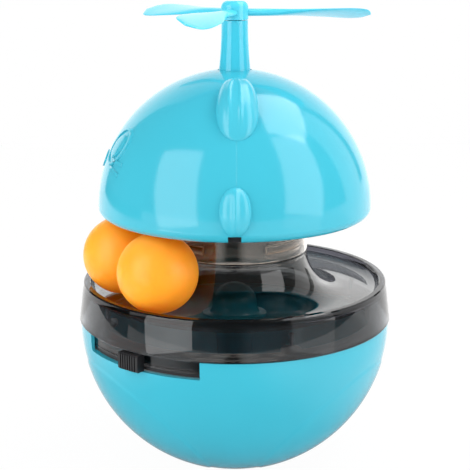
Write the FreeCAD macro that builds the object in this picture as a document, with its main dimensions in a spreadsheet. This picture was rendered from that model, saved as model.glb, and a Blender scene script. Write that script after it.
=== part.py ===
"""Cat treat dispenser toy: a weighted bowl, a smoked ball track and a dome with a propeller.

Frame: millimetres, +Z up, origin at the middle of the flat under the bowl. The cat's face looks
along -X, its ears and paws point along -Y and +Y. Bearings are degrees round Z from +X.
"""
import FreeCAD, Part
import math
import os
import Sketcher
from FreeCAD import Placement, Rotation, Vector

# Driving dimensions in millimetres and degrees. Every one of them is a cell of the sheet.
SIZES = {
    # bowl: a thin sphere, cut flat below and open a little above its middle
    "bowl_radius": 81.1,
    "bowl_wall": 2.4,
    "bowl_floor": 2.6,
    "bowl_flat_radius": 24.0,
    "rim_rise": 1.533,
    "bowl_lap_wall": 1.8,
    "lap_depth": 9.1,
    "ledge_thickness": 2.0,
    "ledge_width": 4.6,
    "pad_radius": 42.0,
    "pad_height": 0.4,
    "pad_tilt": 48.0,
    "pad_bearing": 90.0,
    # cut-out at the bowl's rim, with the sliding door behind it
    "cutout_bearing": 232.7,
    "cutout_span": 51.2,
    "door_wall": 1.4,
    "door_gap": 0.2,
    "door_span": 98.0,
    "door_travel": 20.5,
    "hole_span": 17.5,
    "hole_inset": 2.0,
    "hole_lid": 1.0,
    "door_play": 0.3,
    # black thumb piece on the door
    "knob_span": 8.4,
    "knob_gap": 0.35,
    "knob_proud": 3.7,
    "knob_bevel": 0.6,
    "groove_pitch": 1.0,
    "groove_width": 0.6,
    "groove_depth": 0.6,
    # counterweight and the cover over it
    "weight_radius": 32.0,
    "weight_top": 13.6,
    "weight_gap": 0.4,
    "cover_height": 14.0,
    "cover_wall": 1.8,
    "cover_crown": 5.0,
    "cover_shelf": 5.5,
    "cover_gap": 0.3,
    "post_stand": 4.2,
    "cover_screw_bite": 5.4,
    "post_radius": 3.4,
    # smoked outlet ring that plugs into the bowl
    "skirt_wall": 2.0,
    "skirt_lift": 2.5,
    "rail_height": 0.9,
    "web_lift": 0.2,
    "web_wall": 1.6,
    "web_shelf": 2.5,
    "web_gap": 0.3,
    "window_sill": 1.8,
    "tongue_gap": 0.7,
    "tongue_wall": 1.8,
    "tongue_width": 10.0,
    "barb_bite": 1.2,
    "barb_height": 1.1,
    "barb_gap": 0.3,
    "lobe_radius": 5.0,
    "lobe_bearing": 22.5,
    "lobe_inset": 3.0,
    "locator_width": 4.0,
    # smoked tray: ring wall, rim, ball track and neck
    "ring_step": 0.714,
    "ring_height": 16.5,
    "ring_taper": 2.2,
    "ring_crown": 3.5,
    "ring_crown_taper": 0.6,
    "ring_wall": 2.0,
    "land_width": 3.5,
    "track_corner": 5.0,
    "track_inset": 16.3,
    "track_sink": 2.75,
    "groove_play": 1.25,
    "tray_wall": 2.0,
    "rim_ribs": 12,
    "rib_wall": 1.2,
    # neck and the twist lock of the dome
    "neck_wall": 2.0,
    "neck_drop": 9.4,
    "lug_room": 1.75,
    "lug_depth": 1.4,
    "lug_drop": 3.3,
    "lug_height": 2.7,
    "lug_span": 36.0,
    "lug_bearing": 135.0,
    "collar_wall": 1.3,
    "collar_seat_gap": 0.2,
    "catch_gap": 0.3,
    "catch_height": 4.4,
    "catch_span": 131.0,
    "twist_travel": 45.0,
    "stop_play": 1.5,
    "stop_span": 3.0,
    # balls
    "ball_radius": 20.0,
    "ball_wall": 0.5,
    "ball_lift": 0.3,
    "ball_front_bearing": 230.6,
    "ball_gap": 0.3,
    # dome: its rim hangs just above the balls, its middle a little above its rim
    "dome_radius": 70.5,
    "dome_wall": 2.2,
    "dome_clearance": 0.45,
    "dome_hang": 3.7,
    "dome_round": 4.4,
    "dome_lip": 5.1,
    "pillar_stand": 8.05,
    "pillar_radius": 3.8,
    "pillar_bearing": 30.0,
    "notch_width": 6.2,
    "notch_height": 2.2,
    "key_gap": 0.2,
    "key_depth": 4.0,
    "floor_lift": 2.5,
    "floor_wall": 1.8,
    "floor_gap": 0.15,
    "seat_sink": 1.1,
    "seat_wall": 4.6,
    "boss_radius": 9.5,
    # ears and paws moulded on the dome
    "ear_angle": 55.0,
    "ear_width": 21.6,
    "ear_length": 43.6,
    "ear_rise": 8.6,
    "paw_angle": 9.5,
    "paw_ball": 15.2,
    "paw_offset": 4.0,
    "paw_sink": 9.75,
    # raised face, each height above the dome's middle
    "face_height": 0.7,
    "eye_side": 22.0,
    "eye_lift": 34.3,
    "eye_radius": 9.5,
    "eye_line": 1.5,
    "pupil_radius": 5.6,
    "whisker_near": 25.5,
    "whisker_far": 35.5,
    "whisker_width": 1.5,
    "whisker_lift": 26.3,
    "whisker_spread": 2.6,
    "nose_width": 15.0,
    "nose_lift": 24.8,
    # mast
    "mast_height": 25.3,
    "mast_foot_radius": 8.1,
    "mast_top_radius": 6.75,
    "mast_waist": 0.35,
    "mast_wall": 1.8,
    "mast_cap": 5.0,
    "mast_post_radius": 3.3,
    "mast_post_drop": 3.6,
    "mast_screw_bite": 11.5,
    "mast_washer_radius": 5.0,
    "mast_washer_wall": 1.0,
    "seat_play": 0.5,
    # spindle and propeller
    "spindle_radius": 1.25,
    "spindle_depth": 12.9,
    "spindle_room": 0.9,
    "press_play": 0.01,
    "bore_play": 0.08,
    "washer_radius": 3.0,
    "washer_wall": 0.5,
    "hub_lift": 0.25,
    "hub_radius": 6.9,
    "hub_height": 8.85,
    "hub_round": 3.4,
    "cap_radius": 4.55,
    "cap_wall": 1.2,
    "cap_play": 0.05,
    "clip_pocket_radius": 4.0,
    "clip_pocket_depth": 1.9,
    "clip_radius": 3.6,
    "clip_wall": 0.55,
    "clip_lift": 0.15,
    # propeller blades
    "blade_count": 3,
    "blade_bearing": 12.0,
    "blade_lift": 2.95,
    "blade_reach": 71.3,
    "blade_chord": 16.4,
    "blade_pitch": 22.0,
    "blade_wall": 1.6,
    "blade_droop": 1.5,
    # self-tapping screws
    "screw_radius": 1.3,
    "screw_play": 0.06,
    "screw_hole_radius": 1.6,
    "screw_head_radius": 2.7,
    "screw_head": 1.8,
    "screw_bite": 7.5,
    "screw_spare": 1.0,
    # how far a cutting shape stands past what it cuts
    "overshoot": 4.0,
}

doc = FreeCAD.newDocument("treat_dispenser")
sheet = doc.addObject("Spreadsheet::Sheet", "Sizes")
for row, (alias, number) in enumerate(SIZES.items(), start=1):
    sheet.set("A%d" % row, alias.replace("_", " "))
    sheet.set("B%d" % row, str(number))
    sheet.setAlias("B%d" % row, alias)
doc.recompute()


class Size:
    """A size that knows both its number and the formula that binds it to the sheet."""

    def __init__(self, number, formula):
        self.number = number
        self.formula = formula

    def __add__(self, other):
        return combine(self, "+", other)

    def __radd__(self, other):
        return combine(other, "+", self)

    def __sub__(self, other):
        return combine(self, "-", other)

    def __rsub__(self, other):
        return combine(other, "-", self)

    def __mul__(self, other):
        return combine(self, "*", other)

    def __rmul__(self, other):
        return combine(other, "*", self)

    def __truediv__(self, other):
        return combine(self, "/", other)


def as_size(value):
    """Give a plain number the same face as a Size."""
    return value if isinstance(value, Size) else Size(float(value), repr(float(value)))


def combine(left, sign, right):
    """Join two sizes by one of the four signs, in number and in formula."""
    a = as_size(left)
    b = as_size(right)
    results = {
        "+": lambda: a.number + b.number,
        "-": lambda: a.number - b.number,
        "*": lambda: a.number * b.number,
        "/": lambda: a.number / b.number,
    }
    return Size(results[sign](), "(%s %s %s)" % (a.formula, sign, b.formula))


def leg(longest, other):
    """The other short side of a right triangle."""
    a = as_size(longest)
    b = as_size(other)
    text = "sqrt((%s)^2 - (%s)^2)" % (a.formula, b.formula)
    return Size(math.sqrt(a.number ** 2 - b.number ** 2), text)


def size(alias):
    """A cell of the sheet as a Size."""
    return Size(float(SIZES[alias]), "Sizes." + alias)


def cosine(angle):
    a = as_size(angle)
    return Size(math.cos(math.radians(a.number)), "cos(%s)" % a.formula)


def sine(angle):
    a = as_size(angle)
    return Size(math.sin(math.radians(a.number)), "sin(%s)" % a.formula)


def arcsine(value):
    a = as_size(value)
    return Size(math.degrees(math.asin(a.number)), "asin(%s) / 1 deg" % a.formula)


def bind(thing, path, value):
    """Tie one property of an object to a size."""
    thing.setExpression(path, as_size(value).formula)


def place(thing, x=0, y=0, z=0, turn=0, axis=(0, 0, 1)):
    """Put an object at a place, turned about an axis, with each part of it bound to the sheet."""
    values = [as_size(value) for value in (x, y, z)]
    angle = as_size(turn)
    spot = Vector(*[value.number for value in values])
    thing.Placement = Placement(spot, Rotation(Vector(*axis), angle.number))
    for letter, value in zip("xyz", values):
        if "Sizes" in value.formula:
            bind(thing, "Placement.Base." + letter, value)
    if "Sizes" in angle.formula:
        bind(thing, "Placement.Rotation.Angle", angle)


def origin_plane(body, role):
    """One of the three origin planes, or an axis, of a body."""
    return next(item for item in body.Origin.OriginFeatures if item.Role == role)


def new_body(label):
    body = doc.addObject("PartDesign::Body", label)
    body.Label = label
    return body


def new_sketch(body, name, role="XZ_Plane", height=0, turn=0):
    """A sketch on an origin plane: turned about Z, and lifted when it lies flat."""
    sketch = body.newObject("Sketcher::SketchObject", name)
    sketch.AttachmentSupport = [(origin_plane(body, role), "")]
    sketch.MapMode = "FlatFace"
    upright = role == "XZ_Plane"
    axis = Vector(0, 1, 0) if upright else Vector(0, 0, 1)
    lift = as_size(height)
    angle = as_size(turn)
    spot = Vector(0, 0, 0) if upright else Vector(0, 0, lift.number)
    sketch.AttachmentOffset = Placement(spot, Rotation(axis, angle.number))
    if "Sizes" in lift.formula:
        bind(sketch, ".AttachmentOffset.Base.z", lift)
    if "Sizes" in angle.formula:
        bind(sketch, ".AttachmentOffset.Rotation.Angle", angle)
    return sketch


def pin_point(sketch, edge, end, x, y):
    """Fix one end of an edge by its two distances from the sketch's origin."""
    for kind, value, axis in (("DistanceX", x, -2), ("DistanceY", y, -1)):
        value = as_size(value)
        if value.formula == "0.0":
            sketch.addConstraint(Sketcher.Constraint("PointOnObject", edge, end, axis))
            continue
        ends = (-1, 1, edge, end)
        number = sketch.addConstraint(Sketcher.Constraint(kind, *ends, value.number))
        if "Sizes" in value.formula:
            bind(sketch, "Constraints[%d]" % number, value)


def arc_between(start, finish, radius, left):
    """An arc between two points with its centre to the left or right of the way along."""
    chord = finish - start
    middle = (start + finish) * 0.5
    rise = math.sqrt(max(radius ** 2 - (chord.Length / 2) ** 2, 0.0))
    side = Vector(-chord.y, chord.x, 0).normalize() * (rise if left else -rise)
    centre = middle + side
    first, last = (start, finish) if left else (finish, start)
    angles = [math.atan2(point.y - centre.y, point.x - centre.x) for point in (first, last)]
    circle = Part.Circle(centre, Vector(0, 0, 1), radius)
    return Part.ArcOfCircle(circle, angles[0], angles[1])


def outline(sketch, steps):
    """Draw a closed outline. A step is x, y and, for a bent edge to the next point, its radius.

    The radius is positive where the arc's centre lies to the left of the way along.
    """
    points = [Vector(as_size(step[0]).number, as_size(step[1]).number, 0) for step in steps]
    ends = []
    for index, step in enumerate(steps):
        start = points[index]
        finish = points[(index + 1) % len(steps)]
        bend = as_size(step[2]) if len(step) > 2 else None
        if bend is None:
            edge = sketch.addGeometry(Part.LineSegment(start, finish), False)
            ends.append((edge, 1, 2))
            continue
        left = bend.number > 0
        edge = sketch.addGeometry(arc_between(start, finish, abs(bend.number), left), False)
        ends.append((edge, 1, 2) if left else (edge, 2, 1))
        radius = bend if left else 0 - bend
        number = sketch.addConstraint(Sketcher.Constraint("Radius", edge, abs(bend.number)))
        if "Sizes" in radius.formula:
            bind(sketch, "Constraints[%d]" % number, radius)
    for index, step in enumerate(steps):
        edge, first, last = ends[index]
        next_edge, next_first, next_last = ends[(index + 1) % len(steps)]
        joint = Sketcher.Constraint("Coincident", edge, last, next_edge, next_first)
        sketch.addConstraint(joint)
        pin_point(sketch, edge, first, step[0], step[1])


def revolve(body, name, steps, span=360, turn=0, cut=False):
    """Turn an outline about Z: all the way round, or over a span centred on a bearing."""
    sketch = new_sketch(body, name + "_sketch", "XZ_Plane", 0, turn)
    outline(sketch, steps)
    kind = "PartDesign::Groove" if cut else "PartDesign::Revolution"
    feature = body.newObject(kind, name)
    feature.Profile = sketch
    feature.ReferenceAxis = (sketch, ["V_Axis"])
    angle = as_size(span)
    feature.Midplane = angle.number < 360
    feature.Angle = angle.number
    if "Sizes" in angle.formula:
        bind(feature, "Angle", angle)
    sketch.Visibility = False
    return feature


def round_pad(body, name, reach, radius, bottom, top, turn=0, cut=False):
    """A round post, or a round hole, at a distance from Z on a bearing."""
    sketch = new_sketch(body, name + "_sketch", "XY_Plane", bottom, turn)
    far = as_size(reach)
    wide = as_size(radius)
    circle = Part.Circle(Vector(far.number, 0, 0), Vector(0, 0, 1), wide.number)
    edge = sketch.addGeometry(circle, False)
    number = sketch.addConstraint(Sketcher.Constraint("Radius", edge, wide.number))
    bind(sketch, "Constraints[%d]" % number, wide)
    pin_point(sketch, edge, 3, far, 0)
    feature = body.newObject("PartDesign::Pocket" if cut else "PartDesign::Pad", name)
    feature.Profile = sketch
    feature.Reversed = cut
    height = as_size(top) - bottom
    feature.Length = height.number
    bind(feature, "Length", height)
    sketch.Visibility = False
    return feature


def block_pad(body, name, near, far, width, bottom, top, turn=0, cut=False):
    """A straight block, or slot, that lies along a bearing."""
    sketch = new_sketch(body, name + "_sketch", "XY_Plane", bottom, turn)
    half = as_size(width) / 2
    outline(sketch, [(near, 0 - half), (far, 0 - half), (far, half), (near, half)])
    feature = body.newObject("PartDesign::Pocket" if cut else "PartDesign::Pad", name)
    feature.Profile = sketch
    feature.Reversed = cut
    height = as_size(top) - bottom
    feature.Length = height.number
    bind(feature, "Length", height)
    sketch.Visibility = False
    return feature


def ring_of(body, name, features, count):
    """Repeat features evenly about Z."""
    pattern = body.newObject("PartDesign::PolarPattern", name)
    pattern.Originals = features
    pattern.Axis = (origin_plane(body, "Z_Axis"), [""])
    pattern.Angle = 360
    number = as_size(count)
    pattern.Occurrences = int(number.number)
    if "Sizes" in number.formula:
        bind(pattern, "Occurrences", number)
    body.Tip = pattern
    return pattern


def boolean(kind, label, *parts):
    """A Part boolean of finished objects: Fuse and Common take many, Cut takes two."""
    names = {"Fuse": "Part::MultiFuse", "Common": "Part::MultiCommon", "Cut": "Part::Cut"}
    result = doc.addObject(names[kind], label)
    result.Label = label
    if kind == "Cut":
        result.Base, result.Tool = parts
    else:
        result.Shapes = list(parts)
    for part in parts:
        part.Visibility = False
    return result


def rod(name, radius, bottom, top, reach=0, bearing=0):
    """An upright cylinder on a bearing."""
    cylinder = doc.addObject("Part::Cylinder", name)
    bind(cylinder, "Radius", radius)
    bind(cylinder, "Height", as_size(top) - bottom)
    place(cylinder, reach * cosine(bearing), reach * sine(bearing), bottom)
    return cylinder


def ball(name, radius, x=0, y=0, z=0):
    """A whole sphere round a point."""
    sphere = doc.addObject("Part::Sphere", name)
    bind(sphere, "Radius", radius)
    place(sphere, x, y, z)
    return sphere


def screw_set(label, reach, count, bearing, seat, tip, head_top):
    """Like screws in one node: round heads with a cross recess, and plain shanks."""
    body = new_body(label)
    head = size("screw_head")
    arm = size("screw_head_radius") * 0.6
    low = seat if head_top else seat - head
    face = low + head if head_top else low
    depth = head * 0.4
    recess_low = face - depth if head_top else face
    parts = [
        round_pad(body, label + "_head", reach, size("screw_head_radius"), low, low + head, bearing),
        round_pad(body, label + "_shank", reach, size("screw_radius"),
                  tip if head_top else seat, seat if head_top else tip, bearing),
        block_pad(body, label + "_slot", reach - arm, reach + arm, arm * 0.4,
                  recess_low, recess_low + depth, bearing, True),
        block_pad(body, label + "_cross", reach - arm * 0.2, reach + arm * 0.2, arm * 2,
                  recess_low, recess_low + depth, bearing, True),
    ]
    ring_of(body, label + "_pattern", parts, count)
    return body


# Bowl: blank minus hollow, so that the three posts are trimmed by the wall
bowl_centre = leg(size("bowl_radius"), size("bowl_flat_radius"))
bowl_inner = size("bowl_radius") - size("bowl_wall")
lap_radius = size("bowl_radius") - size("bowl_lap_wall")
rim_height = bowl_centre + size("rim_rise")
rim_radius = leg(size("bowl_radius"), size("rim_rise"))
ledge_top = rim_height - size("lap_depth")
ledge_low = ledge_top - size("ledge_thickness")
ledge_inner = lap_radius - size("ledge_width")
above = rim_height + size("overshoot")
past_bowl = size("bowl_radius") + size("overshoot")

bowl_blank = new_body("bowl_blank")
revolve(bowl_blank, "bowl_outside", [
    (0, 0),
    (size("bowl_flat_radius"), 0, size("bowl_radius")),
    (rim_radius, rim_height),
    (0, rim_height),
])
pads = []
for number in range(3):
    turn = size("pad_bearing") + 120 * number
    tilt = 180 - size("pad_tilt")
    pad = doc.addObject("Part::Cylinder", "bowl_pad_%d" % (number + 1))
    bind(pad, "Radius", size("pad_radius"))
    bind(pad, "Height", past_bowl)
    axis = (-math.sin(math.radians(turn.number)), math.cos(math.radians(turn.number)), 0)
    place(pad, 0, 0, bowl_centre, tilt, axis)
    pads.append(pad)
pad_shell = ball("pad_shell", size("bowl_radius") + size("pad_height"), 0, 0, bowl_centre)
pad_rods = boolean("Fuse", "pad_rods", *pads)
pad_limit = rod("pad_limit", past_bowl, 0, rim_height)
bowl_pads = boolean("Common", "bowl_pads", pad_shell, pad_rods, pad_limit)

bowl_core = new_body("bowl_core")
revolve(bowl_core, "bowl_inside", [
    (0, size("bowl_floor")),
    (leg(bowl_inner, bowl_centre - size("bowl_floor")), size("bowl_floor"), bowl_inner),
    (leg(bowl_inner, bowl_centre - ledge_low), ledge_low),
    (ledge_inner, ledge_low),
    (ledge_inner, ledge_top),
    (lap_radius, ledge_top),
    (lap_radius, above),
    (0, above),
])
cover_screw_reach = size("weight_radius") + size("post_stand")
bowl_posts = new_body("bowl_posts")
bowl_posts.AllowCompound = True
post = round_pad(bowl_posts, "post", cover_screw_reach, size("post_radius"),
                 size("bowl_floor") - 1, size("cover_height"), 90)
ring_of(bowl_posts, "post_pattern", [post], 3)
bowl_hollow = boolean("Cut", "bowl_hollow", bowl_core, bowl_posts)
bowl_solid = boolean("Fuse", "bowl_solid", bowl_blank, bowl_pads)
bowl_shell = boolean("Cut", "bowl_shell", bowl_solid, bowl_hollow)
bowl_cuts = new_body("bowl_cuts")
bowl_cuts.AllowCompound = True
revolve(bowl_cuts, "cutout", [
    (lap_radius - 0.5, ledge_top),
    (past_bowl, ledge_top),
    (past_bowl, above),
    (lap_radius - 0.5, above),
], size("cutout_span"), size("cutout_bearing"))
pilot_radius = size("screw_radius") + size("screw_play")
cover_tip = size("cover_height") - size("cover_screw_bite")
pilot = round_pad(bowl_cuts, "post_pilot", cover_screw_reach, pilot_radius,
                  cover_tip - size("screw_spare"), size("cover_height") + 2, 90)
ring_of(bowl_cuts, "post_pilots", [pilot], 3)
bowl = boolean("Cut", "bowl", bowl_shell, bowl_cuts)

# Counterweight: a steel disc that lies in the bottom of the bowl
weight_arc = bowl_inner - size("weight_gap")
weight_edge = bowl_centre - leg(weight_arc, size("weight_radius"))
counterweight = new_body("counterweight")
revolve(counterweight, "disc", [
    (0, size("bowl_floor")),
    (leg(weight_arc, bowl_centre - size("bowl_floor")), size("bowl_floor"), weight_arc),
    (size("weight_radius"), weight_edge),
    (size("weight_radius"), size("weight_top") - 1),
    (size("weight_radius") - 1, size("weight_top")),
    (0, size("weight_top")),
])

# Cover over the weight: a shallow cone that lets the treats roll outwards
cover_low = size("cover_height")
cover_top = cover_low + size("cover_wall")
cover_edge = leg(bowl_inner, bowl_centre - cover_low) - size("cover_gap")
cover_fold = cover_screw_reach - size("cover_shelf")
weight_cover = new_body("weight_cover")
revolve(weight_cover, "cone", [
    (0, cover_low + size("cover_crown")),
    (cover_fold, cover_low),
    (cover_edge, cover_low),
    (cover_edge, cover_top),
    (cover_fold, cover_top),
    (0, cover_top + size("cover_crown")),
])
cover_hole = round_pad(weight_cover, "cover_hole", cover_screw_reach,
                       size("screw_hole_radius"), cover_low - 1, cover_top + 1, 90, True)
ring_of(weight_cover, "cover_holes", [cover_hole], 3)
weight_cover_screws = screw_set("weight_cover_screws", cover_screw_reach, 3, 90,
                                cover_top, cover_tip, True)

# Outlet ring: skirt, rail for the door, web under the tray, snap tongues and screw lobes
door_outer = lap_radius - size("door_gap")
door_inner = door_outer - size("door_wall")
skirt_outer = door_inner - size("door_gap")
skirt_inner = skirt_outer - size("skirt_wall")
skirt_low = ledge_top + size("skirt_lift")
rail_top = skirt_low + size("rail_height")
web_low = rim_height + size("web_lift")
web_top = web_low + size("web_wall")
web_inner = skirt_inner - size("web_shelf")
ring_radius = rim_radius + size("ring_step")
web_outer = ring_radius - size("ring_wall") - size("web_gap")
outlet_ring = new_body("outlet_ring")
revolve(outlet_ring, "skirt", [
    (skirt_inner, skirt_low),
    (lap_radius - size("cover_gap"), skirt_low),
    (lap_radius - size("cover_gap"), rail_top),
    (skirt_outer, rail_top),
    (skirt_outer, web_low),
    (web_outer, web_low),
    (web_outer, web_top),
    (web_inner, web_top),
    (web_inner, web_low),
    (skirt_inner, web_low),
])
ring_screw_reach = web_inner - size("lobe_inset")
tongue_outer = ledge_inner - size("tongue_gap")
tongue_inner = tongue_outer - size("tongue_wall")
barb_top = ledge_low - size("barb_gap")
tongue_low = barb_top - size("barb_height")
lobe = round_pad(outlet_ring, "lobe", ring_screw_reach, size("lobe_radius"),
                 web_low, web_top, size("lobe_bearing"))
tongue = block_pad(outlet_ring, "tongue", tongue_inner, tongue_outer, size("tongue_width"),
                   tongue_low, web_top)
barb = block_pad(outlet_ring, "barb", tongue_inner, ledge_inner + size("barb_bite"),
                 size("tongue_width"), tongue_low, barb_top)
lobe_hole = round_pad(outlet_ring, "lobe_hole", ring_screw_reach,
                      size("screw_hole_radius"), web_low - 1, web_top + 1,
                      size("lobe_bearing"), True)
ring_of(outlet_ring, "ring_quarters", [lobe, tongue, barb, lobe_hole], 4)
window_bearing = size("cutout_bearing") - size("cutout_span") / 2 + size("hole_inset")
window_bearing = window_bearing + size("hole_span") / 2
window_low = skirt_low + size("window_sill")
revolve(outlet_ring, "window", [
    (skirt_inner - 1, window_low),
    (skirt_outer + 0.5, window_low),
    (skirt_outer + 0.5, web_low),
    (skirt_inner - 1, web_low),
], size("hole_span"), window_bearing, True)
for number, offset in enumerate((120, 180, 240), start=1):
    block_pad(outlet_ring, "locator_%d" % number, skirt_outer - 1, door_outer,
              size("locator_width"), rail_top, web_low + size("web_wall") / 2,
              size("cutout_bearing") + offset)

# Door: a curved band behind the cut-out, with one outlet hole
slider_door = new_body("slider_door")
revolve(slider_door, "band", [
    (door_inner, rail_top + size("door_gap")),
    (door_outer, rail_top + size("door_gap")),
    (door_outer, web_low - size("door_play")),
    (door_inner, web_low - size("door_play")),
], size("door_span"), size("cutout_bearing"))
revolve(slider_door, "outlet_hole", [
    (door_inner - 1, window_low + size("door_play")),
    (door_outer + 1, window_low + size("door_play")),
    (door_outer + 1, web_low - size("hole_lid")),
    (door_inner - 1, web_low - size("hole_lid")),
], size("hole_span"), window_bearing - size("door_travel"), True)

# Knob: a ribbed thumb piece fixed to the door
knob_low = ledge_top + size("knob_gap")
knob_top = rim_height - size("knob_gap")
knob_face = size("bowl_radius") + size("knob_proud")
knob_bevel = size("knob_bevel")
slider_knob = new_body("slider_knob")
revolve(slider_knob, "grip", [
    (lap_radius + 0.1, knob_low),
    (knob_face - knob_bevel, knob_low),
    (knob_face, knob_low + knob_bevel),
    (knob_face, knob_top - knob_bevel),
    (knob_face - knob_bevel, knob_top),
    (door_outer, knob_top),
    (door_outer, rail_top + 0.6),
    (lap_radius + 0.1, rail_top + 0.6),
], size("knob_span"), size("cutout_bearing"))
for number in range(7):
    block_pad(slider_knob, "groove_%d" % (number + 1), knob_face - size("groove_depth"),
              knob_face + 1, size("groove_width"), knob_low - 1, knob_top + 1,
              size("cutout_bearing") + size("groove_pitch") * (number - 3), True)

# Tray: ring wall, hollow rim, ball track and neck in one thin shell
shoulder_height = rim_height + size("ring_height")
shoulder_radius = ring_radius - size("ring_taper")
crown_radius = shoulder_radius - size("ring_crown_taper")
crown_top = shoulder_height + size("ring_crown")
land_inner = crown_radius - size("land_width")
track_floor = shoulder_height - size("track_sink")
track_radius = land_inner - size("track_inset")
corner_radius = land_inner - size("track_corner")
corner_height = track_floor + size("track_corner")
groove_radius = size("ball_radius") + size("groove_play")
seam_height = track_floor + groove_radius
seam_radius = track_radius - groove_radius
wall = size("tray_wall")
under_corner = size("track_corner") + wall
under_groove = groove_radius + wall

# Heights above the track: balls, then the dome's rim and floor, then the neck under that floor
ball_height = track_floor + size("ball_lift") + size("ball_radius")
dome_rim = ball_height + size("ball_radius") + size("dome_clearance")
floor_low = dome_rim + size("floor_lift")
neck_top = floor_low - size("neck_drop")
lug_low = neck_top - size("lug_drop")
lug_top = lug_low + size("lug_height")
collar_inner = seam_radius - size("collar_wall")
neck_radius = collar_inner - size("lug_room")
neck_inner = neck_radius - size("neck_wall")
rim_inner = corner_radius + leg(under_corner, corner_height - shoulder_height)
tray = new_body("tray")
revolve(tray, "shell", [
    (ring_radius, rim_height),
    (shoulder_radius, shoulder_height),
    (crown_radius, crown_top),
    (land_inner, crown_top),
    (land_inner, corner_height, 0 - size("track_corner")),
    (corner_radius, track_floor),
    (track_radius, track_floor, 0 - groove_radius),
    (seam_radius, seam_height),
    (neck_radius, seam_height),
    (neck_radius, neck_top),
    (neck_inner, neck_top),
    (neck_inner, seam_height - wall),
    (track_radius - leg(under_groove, wall), seam_height - wall, under_groove),
    (track_radius, track_floor - wall),
    (corner_radius, track_floor - wall, under_corner),
    (rim_inner, shoulder_height),
    (shoulder_radius - size("ring_wall"), shoulder_height),
    (ring_radius - size("ring_wall"), rim_height),
])
lug = revolve(tray, "lug", [
    (neck_radius - 0.5, lug_low),
    (neck_radius + size("lug_depth"), lug_low),
    (neck_radius + size("lug_depth"), lug_top),
    (neck_radius - 0.5, lug_top),
], size("lug_span"), size("lug_bearing"))
ring_of(tray, "lugs", [lug], 2)
ring_tip = web_top + size("screw_bite") - 0.3
boss = round_pad(tray, "screw_boss", ring_screw_reach, size("post_radius"),
                 web_top, track_floor - wall * 0.6, size("lobe_bearing"))
boss_hole = round_pad(tray, "boss_hole", ring_screw_reach, pilot_radius,
                      web_top - 1, ring_tip + size("screw_spare"), size("lobe_bearing"), True)
ring_of(tray, "screw_bosses", [boss, boss_hole], 4)
rib = tray.newObject("PartDesign::Pad", "rim_rib")
rib_sketch = new_sketch(tray, "rim_rib_sketch", "XZ_Plane")
mid_bend = size("track_corner") + wall / 2
outline(rib_sketch, [
    (corner_radius, track_floor - wall / 2),
    (shoulder_radius - size("ring_wall") * 0.8, web_top + size("rib_wall")),
    (ring_radius - size("ring_wall") * 0.6, web_top + size("rib_wall")),
    (shoulder_radius - size("ring_wall") / 2, shoulder_height + wall * 0.4),
    (corner_radius + mid_bend * cosine(15), corner_height - mid_bend * sine(15)),
    (corner_radius + mid_bend * cosine(50), corner_height - mid_bend * sine(50)),
])
rib.Profile = rib_sketch
rib.Midplane = True
bind(rib, "Length", size("rib_wall"))
rib_sketch.Visibility = False
ring_of(tray, "rim_ribs", [rib], size("rim_ribs"))

outlet_ring_screws = screw_set("outlet_ring_screws", ring_screw_reach, 4,
                               size("lobe_bearing"), web_low, ring_tip, False)

# Balls: thin hollow spheres that roll in the track, side by side
ball_spread = arcsine((size("ball_radius") + size("ball_gap") / 2) / track_radius) * 2
balls = {}
for name, bearing in (("ball_front", size("ball_front_bearing")),
                      ("ball_back", size("ball_front_bearing") - ball_spread)):
    x = track_radius * cosine(bearing)
    y = track_radius * sine(bearing)
    skin = ball(name + "_skin", size("ball_radius"), x, y, ball_height)
    hollow = ball(name + "_hollow", size("ball_radius") - size("ball_wall"), x, y, ball_height)
    balls[name] = boolean("Cut", name, skin, hollow)

# Dome: blank with ears, paws and face, minus a core that leaves three pillars
dome_radius = size("dome_radius")
dome_centre = dome_rim + size("dome_hang")
dome_inner = dome_radius - size("dome_wall")
dome_bore = dome_radius - size("dome_lip")
bend_centre = leg(dome_radius - size("dome_round"), dome_rim + size("dome_round") - dome_centre)
spread = dome_radius / (dome_radius - size("dome_round"))
seat_radius = size("mast_foot_radius") + size("seat_play")
mast_seat = dome_centre + dome_radius - size("seat_sink")
boss_low = mast_seat - size("seat_wall")
dome_blank = new_body("dome_blank")
revolve(dome_blank, "dome_outside", [
    (0, dome_rim),
    (bend_centre, dome_rim, size("dome_round")),
    (bend_centre * spread,
     dome_centre + (dome_rim + size("dome_round") - dome_centre) * spread, dome_radius),
    (seat_radius, dome_centre + leg(dome_radius, seat_radius)),
    (seat_radius, mast_seat),
    (0, mast_seat),
])
dome_core = new_body("dome_core")
revolve(dome_core, "dome_inside", [
    (0, dome_rim - 1),
    (dome_bore, dome_rim - 1),
    (dome_bore, dome_centre + leg(dome_inner, dome_bore), dome_inner),
    (size("boss_radius"), dome_centre + leg(dome_inner, size("boss_radius"))),
    (size("boss_radius"), boss_low),
    (0, boss_low),
])
floor_top = floor_low + size("floor_wall")
pillar_reach = seam_radius + size("pillar_stand")
dome_pillars = new_body("dome_pillars")
dome_pillars.AllowCompound = True
pillar = round_pad(dome_pillars, "pillar", pillar_reach, size("pillar_radius"),
                   floor_top, mast_seat, size("pillar_bearing"))
ring_of(dome_pillars, "pillar_pattern", [pillar], 3)
dome_hollow = boolean("Cut", "dome_hollow", dome_core, dome_pillars)

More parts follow.
